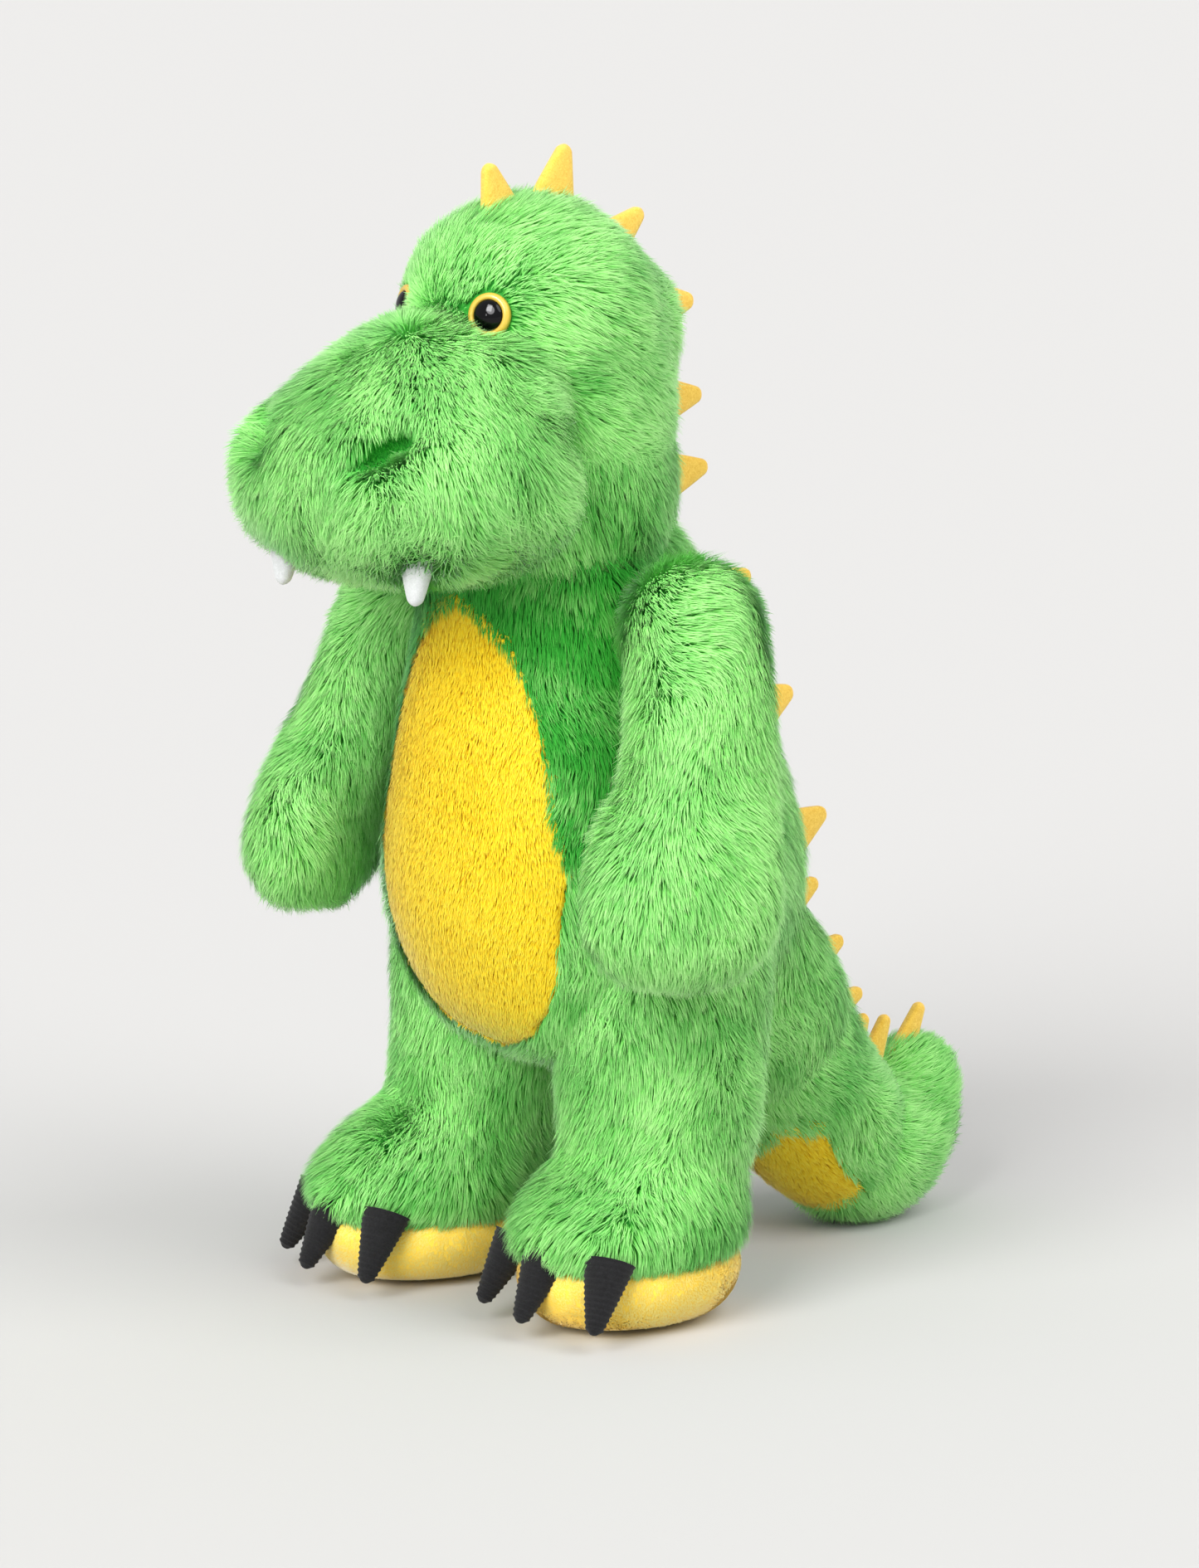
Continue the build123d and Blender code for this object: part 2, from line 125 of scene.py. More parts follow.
def smooth_table(stations, steps):
    """Rows of a small table, eased between its stations by a Catmull-Rom curve."""
    rows = np.array(stations, float)
    padded = np.vstack([2 * rows[0] - rows[1], rows, 2 * rows[-1] - rows[-2]])
    out = []
    for step in np.linspace(0, len(rows) - 1, steps):
        first = min(int(step), len(rows) - 2)
        t = step - first
        a, b, c, d = padded[first:first + 4]
        square = (2 * a - 5 * b + 4 * c - d) * t * t
        cube = (3 * b - a - 3 * c + d) * t ** 3
        out.append(0.5 * (2 * b + (c - a) * t + square + cube))
    return np.array(out)


def column(stations, turn=0.0, steps=30, sectors=40):
    """Upright stuffed column through level ellipses: height, x, y, half width, half length."""
    table = smooth_table(stations, steps)
    cosine, sine = circle(sectors)
    spin = math.radians(turn)
    rings = []
    for z, x, y, half_x, half_y in table:
        local_x, local_y = max(half_x, 0.5) * cosine, max(half_y, 0.5) * sine
        ring_x = x + local_x * math.cos(spin) - local_y * math.sin(spin)
        ring_y = y + local_x * math.sin(spin) + local_y * math.cos(spin)
        rings.append(np.stack([ring_x, ring_y, np.full(sectors, z)], 1))
    first, final = table[0], table[-1]
    verts = np.vstack([[first[1], first[2], first[0]], *rings, [final[1], final[2], final[0]]])
    return finish_grid(verts, steps, sectors)


def tube(stations, steps=24, sectors=36):
    """Stuffed tube in the middle plane through x, y, z, radius, height factor stations."""
    table = smooth_table(stations, steps)
    cosine, sine = circle(sectors)
    along = np.gradient(table[:, :3], axis=0)
    along /= np.linalg.norm(along, axis=1)[:, None]
    rings = []
    for row, forward in zip(table, along):
        side = np.cross(forward, (0, 0, 1.0))
        side /= np.linalg.norm(side)
        up = np.cross(side, forward)
        radius, tall = row[3], row[3] * row[4]
        rings.append(row[:3] + np.outer(cosine * radius, side) + np.outer(sine * tall, up))
    verts = np.vstack([table[0, :3], *rings, table[-1, :3]])
    return finish_grid(verts, steps, sectors)


def egg_column(stations, steps=40, sectors=56):
    """Torso through height, front y, back y, half width, widest y: each level section has a
    round front, and flanks that run back to a ridge."""
    table = smooth_table(stations, steps)
    cosine, sine = circle(sectors)
    flank = 0.62
    rings = []
    for z, front, back, half, widest in table:
        front_x, front_y = half * sine, widest - (widest - front) * cosine
        rear = np.clip(-cosine, 0, 1)
        rear_x = half * np.sign(sine) * (1 - rear) ** flank
        rear_y = widest + (back - widest) * rear
        ring_x = np.where(cosine >= 0, front_x, rear_x)
        ring_y = np.where(cosine >= 0, front_y, rear_y)
        rings.append(np.stack([ring_x, ring_y, np.full(sectors, z)], 1))
    first, final = table[0], table[-1]
    verts = np.vstack([[0, first[4], first[0]], *rings, [0, final[4], final[0]]])
    return finish_grid(verts, steps, sectors)


def mirrored(shape):
    verts, faces = shape
    return verts * (-1, 1, 1), [face[::-1] for face in faces]


FOOT_TURN = {"left": 0, "right": -10}      # the right foot points a little outward
FOOT_PLACE = {"left": (48, 0, 0), "right": (-48, -9, 0)}


def on_foot(shape, side):
    """A shape drawn around a foot's own middle, put where that foot stands."""
    spin = Matrix.Rotation(math.radians(FOOT_TURN[side]), 3, "Z")
    return shape[0] @ np.array(spin).T + FOOT_PLACE[side], shape[1]


# ---- stuffed skins --------------------------------------------------------------------------

def mesh_of(name, shapes):
    """One mesh of several shapes, with its faces turned outward."""
    mesh = bpy.data.meshes.new(name)
    verts, faces = [], []
    for shape_verts, shape_faces in shapes:
        offset = len(verts)
        verts.extend(map(tuple, to_row(shape_verts)))
        faces.extend(tuple(index + offset for index in face) for face in shape_faces)
    mesh.from_pydata(verts, [], faces)
    outward = bmesh.new()
    outward.from_mesh(mesh)
    bmesh.ops.recalc_face_normals(outward, faces=outward.faces)
    outward.to_mesh(mesh)
    outward.free()
    return mesh


def new_object(name, mesh):
    made = bpy.data.objects.new(name, mesh)
    bpy.context.collection.objects.link(made)
    return made


def evaluated_mesh(piece, name):
    """What the piece's modifiers make of it, as a mesh of its own. The piece is removed."""
    graph = bpy.context.evaluated_depsgraph_get()
    made = bpy.data.meshes.new_from_object(piece.evaluated_get(graph))
    bpy.data.objects.remove(piece)
    made.name = name
    return made


def add_modifier(piece, name, kind, **values):
    made = piece.modifiers.new(name, kind)
    for key, value in values.items():
        setattr(made, key, value)
    return made


CLOTH = {
    "use_pressure": True, "uniform_pressure_force": 4.0, "quality": 4, "mass": 0.15,
    "tension_stiffness": 12, "compression_stiffness": 12, "shear_stiffness": 5,
    "bending_stiffness": 0.3,
}
CLOTH_FRAMES = 20


def inflate(mesh, cap_mm):
    """Stuffs a closed skin: cloth under even pressure, no gravity, no point moved over the cap."""
    before = mesh_arrays(mesh)[0]
    bag = new_object("bag", mesh)
    cloth = bag.modifiers.new("cloth", "CLOTH")
    for key, value in CLOTH.items():
        setattr(cloth.settings, key, value)
    cloth.settings.effector_weights.gravity = 0
    cloth.collision_settings.use_collision = False
    cloth.point_cache.frame_start = 1
    cloth.point_cache.frame_end = CLOTH_FRAMES
    for frame_number in range(1, CLOTH_FRAMES + 1):
        bpy.context.scene.frame_set(frame_number)
    puffed = evaluated_mesh(bag, mesh.name + "_puffed")
    after = mesh_arrays(puffed)[0]
    bpy.context.scene.frame_set(1)
    moved = after - before
    far = np.linalg.norm(moved, axis=1, keepdims=True)
    after = before + moved * np.minimum(1, cap_mm * MM / np.maximum(far, 1e-9))
    puffed.vertices.foreach_set("co", after.astype(np.float32).ravel())
    puffed.update()
    return puffed


def triangulated(piece, name):
    add_modifier(piece, "triangles", "TRIANGULATE", keep_custom_normals=False)
    return evaluated_mesh(piece, name)


def skin(name, shapes, voxel=5.0, relax=4, cap=3.0):
    """One closed skin around several shapes: remeshed, relaxed, stuffed and subdivided."""
    raw = new_object(name, mesh_of(name, shapes))
    add_modifier(raw, "remesh", "REMESH", mode="VOXEL", voxel_size=voxel * MM)
    add_modifier(raw, "smooth", "SMOOTH", factor=0.5, iterations=relax)
    closed = evaluated_mesh(raw, name)
    closed = inflate(closed, cap)
    stuffed = new_object(name, closed)
    add_modifier(stuffed, "settle", "SMOOTH", factor=0.5, iterations=2)
    add_modifier(stuffed, "finer", "SUBSURF", levels=1, render_levels=1)
    return triangulated(stuffed, name)


def mesh_arrays(mesh):
    """Vertices, normals and, where every face has the same number of corners, faces."""
    count = len(mesh.vertices)
    verts = np.empty(count * 3)
    mesh.vertices.foreach_get("co", verts)
    normals = np.empty(count * 3)
    mesh.vertices.foreach_get("normal", normals)
    corners = np.empty(len(mesh.loops), int)
    mesh.loops.foreach_get("vertex_index", corners)
    even = len(corners) % len(mesh.polygons) == 0
    faces = corners.reshape(len(mesh.polygons), -1) if even else None
    return verts.reshape(-1, 3), normals.reshape(-1, 3), faces


# ---- pile -----------------------------------------------------------------------------------
def waves(points, wavelength, seed, count=5):
    """Smooth vector noise between about -1 and 1, the same on every run. Lengths are in metres."""
    source = np.random.default_rng(seed)
    total = np.zeros_like(points)
    for _ in range(count):
        direction = unit(source.normal(size=3)) * 2 * math.pi / wavelength
        direction = direction / source.uniform(0.7, 1.4)
        phase = source.uniform(0, 2 * math.pi, 3)
        total += np.sin((points @ direction)[:, None] + phase)
    return total / math.sqrt(count)


def clumps(roots, share):
    """Index of the nearest clump leader of every strand. One strand in share is a leader."""
    leaders = np.arange(0, len(roots), share)
    tree = KDTree(len(leaders))
    for slot, leader in enumerate(leaders):
        tree.insert(roots[leader], slot)
    tree.balance()
    find = tree.find
    nearest = np.fromiter((find(root)[1] for root in roots), int, len(roots))
    return leaders[nearest]


def scatter(verts, vert_normals, faces, density):
    """Places spread evenly over a triangle mesh, with their normals: density is per square mm."""
    corners = verts[faces]
    sides = corners[:, 1] - corners[:, 0], corners[:, 2] - corners[:, 0]
    areas = np.linalg.norm(np.cross(*sides), axis=1) / 2
    count = int(areas.sum() / MM ** 2 * density)
    picked = rng.choice(len(faces), count, p=areas / areas.sum())
    mix = rng.uniform(size=(count, 2))
    flip = mix.sum(1) > 1
    mix[flip] = 1 - mix[flip]
    weights = np.column_stack([1 - mix.sum(1), mix])[:, :, None]
    roots = (corners[picked] * weights).sum(1)
    return roots, unit((vert_normals[faces[picked]] * weights).sum(1))


LENGTH_SPREAD = (0.8, 1.15)
WIDTH_SPREAD = (0.7, 1.3)
LIFT_SCATTER = 0.08
TONE_SCATTER = 0.10
WHORL_BELOW = 0.7         # comb left along the skin
WHORL_LIFT, WHORL_TONE = 0.45, 0.2
# How far apart a clump's strands stay at the middle and at the tip, as a share of their roots.
MIDDLE_APART, TIP_APART = 0.6, 0.25
MIDDLE_GATHER = 0.35      # of the tip's


def bend(roots, normals, pile):
    """Middle, tip and tone of every strand, and its length in metres. A strand rises from its
    root in one straight half and settles along the comb in the other."""
    count = len(roots)
    comb, length, tone, lift = pile(roots, normals)
    length = length * MM * rng.uniform(*LENGTH_SPREAD, count)
    swirl = waves(roots, pile.swirl_length * MM, pile.seed) * pile.swirl
    comb = comb + swirl + rng.normal(scale=pile.stray, size=(count, 3))
    comb = comb - (comb * normals).sum(1)[:, None] * normals
    # Where little of the comb is left along the skin, the strands stand up as a whorl.
    whorl = np.clip(1 - np.linalg.norm(comb, axis=1) / WHORL_BELOW, 0, 1)
    comb = unit(comb)
    scatter_lift = rng.normal(scale=LIFT_SCATTER, size=count)
    lift = np.clip(lift + WHORL_LIFT * whorl + scatter_lift, 0.05, 0.95)[:, None]
    rise = unit(comb * (1 - lift) + normals * (lift + 0.25))
    settle = unit(comb * (1.15 - lift) + normals * lift * 0.55)
    middle = roots + rise * (length * 0.5)[:, None]
    tips = middle + settle * (length * 0.5)[:, None]

    leader = clumps(roots, pile.clump)
    apart = roots - roots[leader]
    tips += (tips[leader] + apart * TIP_APART - tips) * pile.gather
    middle += (middle[leader] + apart * MIDDLE_APART - middle) * pile.gather * MIDDLE_GATHER
    own, shared = (rng.normal(scale=TONE_SCATTER, size=count) for _ in range(2))
    tone = np.clip(tone + WHORL_TONE * whorl + own + shared[leader], 0.02, 0.98)
    return middle, tips, tone, length


FLOOR = 0.4 * MM          # no strand reaches lower
MIDDLE_WIDTH = 0.85       # of the root's
# A strand's five vertices: two at the root, two in the middle and the tip. Its UV holds the
# place along it in v, and its tone in u with a little spread across, so that no face is empty.
STRAND_V = np.array([0.0, 0.0, 0.5, 0.5, 1.0])
STRAND_U = np.array([-0.012, 0.012, 0.010, -0.010, 0.0])


def grow(name, mesh, pile, keep=None):
    """Adds the pile to a skin mesh as thin tapered strands of five vertices each. pile(roots,
    normals) gives each strand's comb direction, length in mm, tone from 0, dark, to 1, light,
    and lift from the skin."""
    verts, vert_normals, faces = mesh_arrays(mesh)
    density = pile.density * 1.0
    roots, normals = scatter(verts, vert_normals, faces, density)
    if keep is not None:
        kept = keep(roots)
        roots, normals = roots[kept], normals[kept]
    count = len(roots)
    middle, tips, tone, length = bend(roots, normals, pile)

    lean = rng.normal(scale=0.35, size=(count, 3)) * length[:, None] * 0.3
    side = unit(np.cross(tips - roots, normals) + lean)
    half = (pile.width * MM / 2 * rng.uniform(*WIDTH_SPREAD, count))[:, None]
    strand = np.stack([
        roots - side * half,
        roots + side * half,
        middle + side * half * MIDDLE_WIDTH,
        middle - side * half * MIDDLE_WIDTH,
        tips,
    ], 1)
    strand[..., 2] = np.maximum(strand[..., 2], FLOOR)
    along = unit(tips - roots)
    shade = unit(normals * 0.8 + along * 0.35 + np.cross(side, along) * 0.25)

    base = len(verts)
    starts = base + np.arange(count)[:, None] * 5
    quads = starts + np.array([0, 1, 2, 3])
    points = starts + np.array([3, 2, 4])
    all_verts = np.vstack([verts, strand.reshape(-1, 3)])
    loops = np.concatenate([faces.ravel(), quads.ravel(), points.ravel()])
    totals = np.concatenate([np.full(len(faces), 3), np.full(count, 4), np.full(count, 3)])
    # The skin between the strands takes the root colour, at u 0.5 and v 0: painted shade in the
    # gaps between clumps.
    vert_u = np.concatenate([np.full(base, 0.5), (tone[:, None] + STRAND_U).ravel()])
    vert_v = np.concatenate([np.zeros(base), np.tile(STRAND_V, count)])
    vert_normal = np.vstack([vert_normals, np.repeat(shade, 5, axis=0)])
    return build_mesh(name, all_verts, loops, totals, vert_u, vert_v, vert_normal)


def build_mesh(name, verts, loops, totals, vert_u, vert_v, vert_normal):
    made = bpy.data.meshes.new(name)
    made.vertices.add(len(verts))
    made.vertices.foreach_set("co", verts.astype(np.float32).ravel())
    made.loops.add(len(loops))
    made.loops.foreach_set("vertex_index", loops.astype(np.int32))
    made.polygons.add(len(totals))
    made.polygons.foreach_set("loop_start", (np.cumsum(totals) - totals).astype(np.int32))
    made.update(calc_edges=True)
    layer = made.uv_layers.new(name="OFBake")
    uv = np.column_stack([vert_u[loops], vert_v[loops]]).astype(np.float32)
    layer.data.foreach_set("uv", uv.ravel())
    made.polygons.foreach_set("use_smooth", np.ones(len(totals), bool))
    made.normals_split_custom_set_from_vertices(vert_normal.astype(np.float32))
    made.validate()
    return made


PATCH_SIZE, PATCH_TONE = 30.0, 0.16      # soft light and dark areas of every pile


class Pile:
    """How one fabric's pile lies. flow gives the comb direction, and shape changes the length,
    tone and lift from place to place.

    density: strands per square mm. length, width, swirl_length: mm. clump: strands to a clump.
    gather: how far they lean to its leader. swirl and stray: smooth and single departures from
    the comb. lift: from 0, flat, to 1, upright. tone: from 0, dark, to 1, light."""

    def __init__(self, seed, density=2.4, length=10.0, width=0.42, clump=18, gather=0.34,
                 swirl=0.35, swirl_length=38.0, stray=0.18, lift=0.38, tone=0.7):
        self.seed, self.density, self.length, self.width = seed, density, length, width
        self.clump, self.gather, self.swirl, self.swirl_length = clump, gather, swirl, swirl_length
        self.stray, self.lift, self.tone = stray, lift, tone

    def flow(self, roots, normals):
        return same_way(roots, (0.0, 0.0, -1.0))

    def shape(self, roots, normals, length, tone, lift):
        return length, tone, lift

    def __call__(self, roots, normals):
        count = len(roots)
        patches = waves(roots, PATCH_SIZE * MM, self.seed + 50)[:, 0]
        tone = self.tone + PATCH_TONE * patches
        length, tone, lift = self.shape(
            roots, normals, np.full(count, self.length), tone, np.full(count, self.lift))
        return self.flow(roots, normals), length, tone, lift


# ---- fabrics --------------------------------------------------------------------------------
def linear(red, green, blue):
    """Linear colour of a 0 to 255 sRGB one."""
    out = []
    for value in (red, green, blue):
        share = value / 255
        out.append(share / 12.92 if share <= 0.04045 else ((share + 0.055) / 1.055) ** 2.4)
    return (*out, 1.0)


def new_material(name, roughness, specular=0.5, sheen=0.0, sheen_rough=0.4, coat=0.0):
    made = bpy.data.materials.new(name)
    made["slot"] = name
    made.use_nodes = True
    shader = made.node_tree.nodes["Principled BSDF"]
    shader.inputs["Roughness"].default_value = roughness
    shader.inputs["Specular IOR Level"].default_value = specular
    shader.inputs["Sheen Weight"].default_value = sheen
    shader.inputs["Sheen Roughness"].default_value = sheen_rough
    shader.inputs["Coat Weight"].default_value = coat
    return made, made.node_tree.nodes, made.node_tree.links, shader


def ramp(nodes, links, factor, stops):
    node = nodes.new("ShaderNodeValToRGB")
    while len(node.color_ramp.elements) < len(stops):
        node.color_ramp.elements.new(0.5)
    for element, (place, colour) in zip(node.color_ramp.elements, stops):
        element.position = place
        element.color = colour
    links.new(factor, node.inputs["Fac"])
    return node.outputs["Color"]


def pile_material(name, dark, light, roughness=0.7, sheen=0.25):
    """Pile: v runs from the root to the tip of a strand and u from its dark to its light tone."""
    made, nodes, links, shader = new_material(name, roughness, 0.25, sheen)
    layer = nodes.new("ShaderNodeUVMap")
    layer.uv_map = "OFBake"
    split = nodes.new("ShaderNodeSeparateXYZ")
    links.new(layer.outputs["UV"], split.inputs["Vector"])
    dark_colour = ramp(nodes, links, split.outputs["Y"], dark)
    light_colour = ramp(nodes, links, split.outputs["Y"], light)
    blend = nodes.new("ShaderNodeMix")
    blend.data_type = "RGBA"
    links.new(split.outputs["X"], blend.inputs["Factor"])
    links.new(dark_colour, blend.inputs["A"])
    links.new(light_colour, blend.inputs["B"])
    links.new(blend.outputs["Result"], shader.inputs["Base Color"])
    return made


# Every ramp is darker at its root end: partly the pile's own colour, partly painted shade deep in
# the pile.
GREEN = pile_material(
    "green_plush",
    [(0.0, linear(4, 116, 20)), (0.4, linear(27, 150, 33)), (1.0, linear(60, 182, 55))],
    [(0.0, linear(52, 178, 48)), (0.4, linear(128, 230, 98)), (1.0, linear(196, 251, 164))],
)
YELLOW = pile_material(
    "yellow_plush",
    [(0.0, linear(246, 178, 0)), (0.5, linear(255, 210, 4)), (1.0, linear(255, 228, 26))],
    [(0.0, linear(250, 190, 0)), (0.5, linear(255, 220, 12)), (1.0, linear(255, 240, 76))],
)
MINKY = pile_material(
    "sole_minky",
    [(0.0, linear(255, 214, 66)), (0.5, linear(255, 222, 88)), (1.0, linear(255, 228, 112))],
    [(0.0, linear(255, 222, 84)), (0.5, linear(255, 232, 118)), (1.0, linear(255, 242, 154))],
    roughness=0.6, sheen=0.5,
)


def felt_material(name, base, fibre, roughness=0.9, sheen=0.3):
    """Pressed felt: matted fibres as fine stretched noise."""
    made, nodes, links, shader = new_material(name, roughness, 0.2, sheen, 0.6)
    place = nodes.new("ShaderNodeTexCoord")
    matted = nodes.new("ShaderNodeTexNoise")
    matted.inputs["Scale"].default_value = 900.0
    matted.inputs["Detail"].default_value = 6.0
    matted.inputs["Distortion"].default_value = 1.6
    links.new(place.outputs["Object"], matted.inputs["Vector"])
    colour = ramp(nodes, links, matted.outputs["Fac"], [(0.32, base), (0.72, fibre)])
    links.new(colour, shader.inputs["Base Color"])
    bump = nodes.new("ShaderNodeBump")
    bump.inputs["Strength"].default_value = 0.35
    bump.inputs["Distance"].default_value = 0.0004
    links.new(matted.outputs["Fac"], bump.inputs["Height"])
    links.new(bump.outputs["Normal"], shader.inputs["Normal"])
    return made


def smooth_material(name, colour, roughness, specular, coat=0.0):
    """Moulded plastic or paper: one even colour."""
    made, _, _, shader = new_material(name, roughness, specular, coat=coat)
    shader.inputs["Base Color"].default_value = colour
    return made


YELLOW_FELT = felt_material("yellow_felt", linear(228, 178, 54), linear(250, 210, 92))
WHITE_FELT = felt_material("white_felt", linear(196, 198, 198), linear(214, 216, 216))
CORDUROY = felt_material("black_corduroy", linear(6, 6, 7), linear(26, 26, 28), sheen=0.08)
EYE_GOLD = smooth_material("eye_gold", linear(214, 178, 66), 0.35, 0.4, coat=0.3)
EYE_BLACK = smooth_material("eye_black", linear(5, 5, 6), 0.08, 0.25)


# ---- combing --------------------------------------------------------------------------------
HEAD_CENTRE = (0, -3.5, 337)
EYES = ((21.5, -41, 345.5), (-21.5, -41, 345.5))
# The head's and the muzzle's pile lie away from these two places on top of the muzzle, in
# front of the eyes.
CROWN = (0, -62, 338)
BRIDGE = (0, -56, 336)
NOSTRILS = ((31.6, -92.7, 306.0), (-31.6, -92.7, 306.0))
NOSTRIL_HALF = (10.5, 5.2)         # along and across the oval
NOSTRIL_DEPTH = 9.5


def away_from(points, centre):
    return unit(stance(points) - np.array(centre, float))


def distance_from(points, centre):
    return np.linalg.norm(stance(points) - centre, axis=1)


def eye_distance(points):
    return np.minimum(*(distance_from(points, eye) for eye in EYES))


def fade(values, low, high):
    """0 at low and 1 at high, even between."""
    return np.clip((values - low) / (high - low), 0, 1)


def same_way(roots, direction):
    return np.tile(direction, (len(roots), 1))


def nostril_depth(points):
    """1 in the middle of a nostril, 0 outside. Each is an oval whose back end is higher."""
    local = stance(points)
    depth = np.zeros(len(local))
    for x, y, z in NOSTRILS:
        side = math.copysign(1, x)
        along = unit(np.array([side * 0.55, 0.62, 0.5]))
        across = unit(np.cross(along, (side * 0.75, -0.6, 0.1)))
        offset = local - (x, y, z)
        far_along = offset @ along / NOSTRIL_HALF[0]
        far_across = offset @ across / NOSTRIL_HALF[1]
        reach = np.sqrt(far_along ** 2 + far_across ** 2)
        near = np.clip(1.6 - reach, 0, 1) * (np.linalg.norm(offset, axis=1) < 22)
        depth = np.maximum(depth, near * near * (3 - 2 * near))
    return depth


class HeadPile(Pile):
    """Combed back from the muzzle, then down, and shorter around the eyes."""

    def flow(self, roots, normals):
        return away_from(roots, CROWN) + (0, 0.1, -0.35)

    def shape(self, roots, normals, length, tone, lift):
        off_eye = fade(eye_distance(roots), 8, 22)
        return length * (0.45 + 0.55 * off_eye), tone + 0.08, lift + 0.12 * (1 - off_eye)


class MuzzlePile(Pile):
    """Combed forward and down. The nostrils are short, and their darker tone is painted shade in
    the pressed-in hollows.
    """

    def flow(self, roots, normals):
        return away_from(roots, BRIDGE)

    def shape(self, roots, normals, length, tone, lift):
        off_eye = fade(eye_distance(roots), 7, 19)
        hole = nostril_depth(roots)
        length = length * (0.6 + 0.4 * off_eye) * (1 - 0.85 * hole)
        # Where the muzzle meets the head the tone is raised: painted light against the shade at
        # that join.
        join = fade(distance_from(roots, HEAD_CENTRE), 58, 48)
        # The nostrils' lower tone is painted shade in their hollows.
        return length, tone - 0.9 * hole + 0.12 * join, lift + 0.25 * join


class BodyPile(Pile):
    """Combed down, and a little back."""

    def flow(self, roots, normals):
        return same_way(roots, (0.0, 0.12, -1.0)) + normals * (0.2, 0.2, 0)


class ArmPile(BodyPile):
    """Combed outward over the shoulder, then down the sleeve."""

    def flow(self, roots, normals):
        shoulder = fade(stance(roots)[:, 2], 215, 250)[:, None]
        outward = same_way(roots, (1.0, 0.1, -0.4))
        outward[:, 0] = np.sign(roots[:, 0])
        return shoulder * outward + (1 - shoulder) * super().flow(roots, normals)


class TorsoPile(BodyPile):
    """Between the belly and the arms the chest is painted darker: painted shade where the muzzle
    and the arms keep the light off it.
    """

    def shape(self, roots, normals, length, tone, lift):
        local = stance(roots)
        # high marks the chest between the belly and the arms; its lower tone is painted shade.
        high = fade(local[:, 2], 140, 170) * fade(local[:, 1], 40, 20)
        return length * (1 - 0.15 * high), tone - 0.62 * high, lift - 0.06 * high


class FootPile(Pile):
    """Legs comb downward, and the feet forward and outward from the ankle."""

    def __init__(self, seed, centre, **values):
        super().__init__(seed, **values)
        self.centre = centre

    def flow(self, roots, normals):
        local = stance(roots)
        low = fade(local[:, 2], 72, 46)[:, None]
        fan = unit(local - self.centre)
        return (1 - low) * np.array([0, 0.05, -1.0]) + low * (fan + (0, 0, -0.25))

    def shape(self, roots, normals, length, tone, lift):
        hem = fade(stance(roots)[:, 2], 34, 26)
        # low darkens the feet towards the floor: painted shade.
        low = fade(stance(roots)[:, 2], 60, 40)
        return length * (1 - 0.35 * hem), tone - 0.14 * low, lift - 0.08 * hem


class TailPile(Pile):
    """Combed back along the tail, whose tip turns up."""

    def flow(self, roots, normals):
        local = stance(roots)
        turn = fade(local[:, 1], 120, 190)[:, None]
        return (1 - turn) * np.array([0, 0.7, -0.7]) + turn * np.array([0, 0.85, 0.25])


def push_in(mesh, amount, depth_mm):
    """Presses the skin in where amount is above 0."""
    verts, normals, _ = mesh_arrays(mesh)
    verts = verts - normals * (amount(verts) * depth_mm * MM)[:, None]
    mesh.vertices.foreach_set("co", verts.astype(np.float32).ravel())
    mesh.update()


# ---- plush pieces ---------------------------------------------------------------------------
def plush(name, mesh, pile, material, replaces, keep=None):
    furry = new_object(name, grow(name, mesh, pile, keep))
    furry.data.materials.append(material)
    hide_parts(*replaces)
    return furry


def patch(name, mesh, region, thick=1.6):
    """A cloth panel of its own on top of a skin: the region's faces, raised and closed."""
    part = bmesh.new()
    part.from_mesh(mesh)
    chosen = region(np.array([face.calc_center_median() for face in part.faces]))
    dropped = [face for face, kept in zip(list(part.faces), chosen) if not kept]
    bmesh.ops.delete(part, geom=dropped, context="FACES")
    made = bpy.data.meshes.new(name)
    part.to_mesh(made)
    part.free()
    panel = new_object(name + "_cloth", made)
    add_modifier(panel, "thicken", "SOLIDIFY", thickness=thick * MM, offset=0.6)
    return triangulated(panel, name)


def both(names, side):
    return [name + "_" + side for name in names]


def height(points):
    return stance(points)[:, 2]


def hinge_line(*places):
    """Two places on a spine, in the row frame."""
    return [tuple(to_row(place)) for place in places]


LAY = 3.0     # the base cloth lies this far inside the plush's packed outside


def ball(centre, radius):
    """A stuffed ball whose packed pile reaches out to a radius."""
    return ellipsoid(centre, (radius - LAY, radius - LAY, radius - LAY))


# ---- head and neck --------------------------------------------------------------------------
HEAD_COLUMN = ((288, 0, 2, 38, 38), (300, 0, 2, 41, 41), (318, 0, 1, 42, 42), (336, 0, 0, 41, 41))
HEAD_RIDGE = (
    (284, 0, 40, 12, 12), (300, 0, 40, 14.5, 14.5), (330, 0, 38, 14.5, 14.5), (350, 0, 33, 11, 11))
NECK_COLUMN = (
    (258, 0, 0, 39, 39), (270, 0, 1, 41.5, 41.5), (290, 0, 2, 41, 41), (312, 0, 2, 37, 37))
NECK_RIDGE = (
    (258, 0, 40, 13, 13), (272, 0, 41, 15, 15), (300, 0, 40, 14, 14), (312, 0, 38, 11, 11))

head_mesh = skin("head_plush", [
    ball(HEAD_CENTRE, 46), ball((0, 20, 335), 34), column(HEAD_COLUMN), column(HEAD_RIDGE)])
head = plush(
    "head_plush", head_mesh, HeadPile(11, length=9.5, gather=0.32), GREEN,
    ["head_shell", "head_fill", "eye_washer_left", "eye_washer_right"],
    keep=lambda roots: (eye_distance(roots) > 8.6) & (height(roots) > 286))
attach(head, "head")

